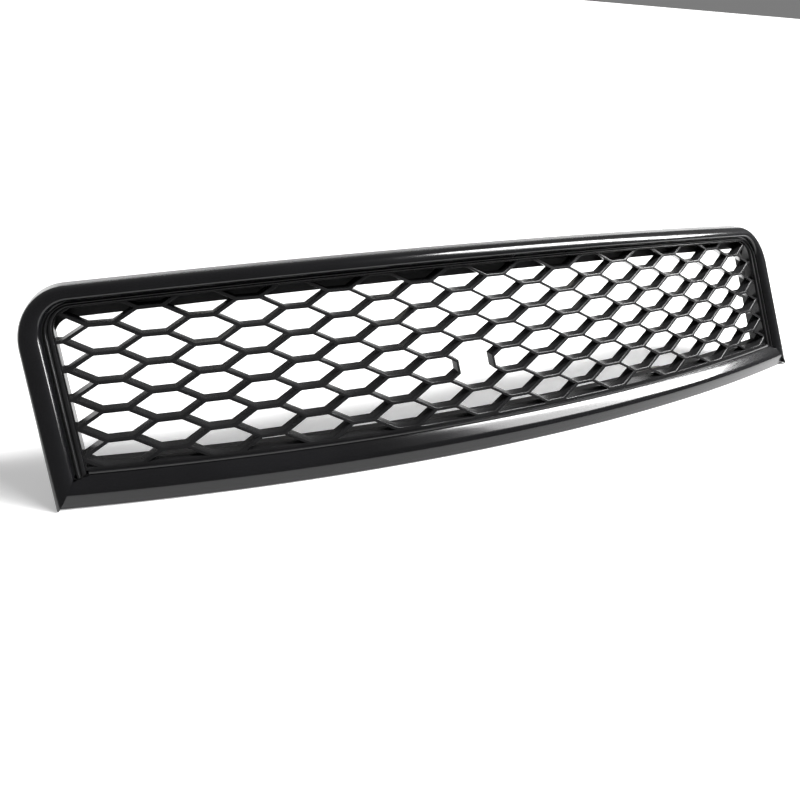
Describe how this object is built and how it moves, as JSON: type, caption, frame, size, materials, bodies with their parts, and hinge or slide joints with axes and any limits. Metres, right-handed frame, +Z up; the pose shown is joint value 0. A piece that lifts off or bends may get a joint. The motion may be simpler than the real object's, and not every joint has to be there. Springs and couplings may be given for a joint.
{
  "type": "front grille",
  "caption": "Wide, bowed and reclined honeycomb grille in a gloss surround with a mitred lower bar, rear tabs, feet, pegs and push-in retainers.",
  "frame": {"origin": "On the surface that the lower bar stands on, at the middle of the width and of the depth", "axes": "+X along the width to the right seen from the front, +Y from the face towards the car, +Z up"},
  "size_m": [0.846, 0.1607, 0.17],
  "materials": {
    "gloss_black": "smooth, high gloss, near black",
    "satin_black": "satin, fine grain",
    "satin_grey": "satin dark grey, smooth front lips",
    "moulded_black": "matte, glass-filled",
    "plated_steel": "pressed sheet, zinc plated",
    "zinc_screw": "bright zinc",
    "spring_steel": "phosphated spring steel",
    "soft_rubber": "matte",
    "nylon_black": "slightly waxy",
    "foam_black": "closed-cell foam, fine pores"
  },
  "bodies": {
    "grille": {"surround_arch": "gloss_black", "lower_bar": "gloss_black", "mesh_rim": "satin_black", "honeycomb_mesh": "satin_grey", "corner_key_left": "moulded_black", "corner_key_right": "moulded_black", "corner_key_screws": "zinc_screw", "rim_screws": "zinc_screw", "upper_bracket_1": "plated_steel", "upper_bracket_2": "plated_steel", "upper_bracket_3": "plated_steel", "upper_bracket_4": "plated_steel", "upper_bracket_screws": "zinc_screw", "lower_bracket_left": "plated_steel", "lower_bracket_right": "plated_steel", "lower_bracket_screws": "zinc_screw", "lower_spring_nuts": "spring_steel", "side_bracket_left": "moulded_black", "side_bracket_right": "moulded_black", "side_bracket_screws": "zinc_screw", "peg_grommet_left": "soft_rubber", "peg_grommet_right": "soft_rubber", "retainer_sleeves": "nylon_black", "bonnet_seal": "foam_black", "anti_rattle_pads": "foam_black"},
    "pin_1": {"retainer_pin_1": "nylon_black"},
    "pin_2": {"retainer_pin_2": "nylon_black"},
    "pin_3": {"retainer_pin_3": "nylon_black"},
    "pin_4": {"retainer_pin_4": "nylon_black"}
  },
  "joints": [
    {"name": "pin_1_slide", "type": "slide", "parent": "grille", "child": "pin_1", "axis": [0, 0, 1], "range_m": [0, 0.008]},
    {"name": "pin_2_slide", "type": "slide", "parent": "grille", "child": "pin_2", "axis": [0, 0, 1], "range_m": [0, 0.008]},
    {"name": "pin_3_slide", "type": "slide", "parent": "grille", "child": "pin_3", "axis": [0, 0, 1], "range_m": [0, 0.008]},
    {"name": "pin_4_slide", "type": "slide", "parent": "grille", "child": "pin_4", "axis": [0, 0, 1], "range_m": [0, 0.008]}
  ]
}
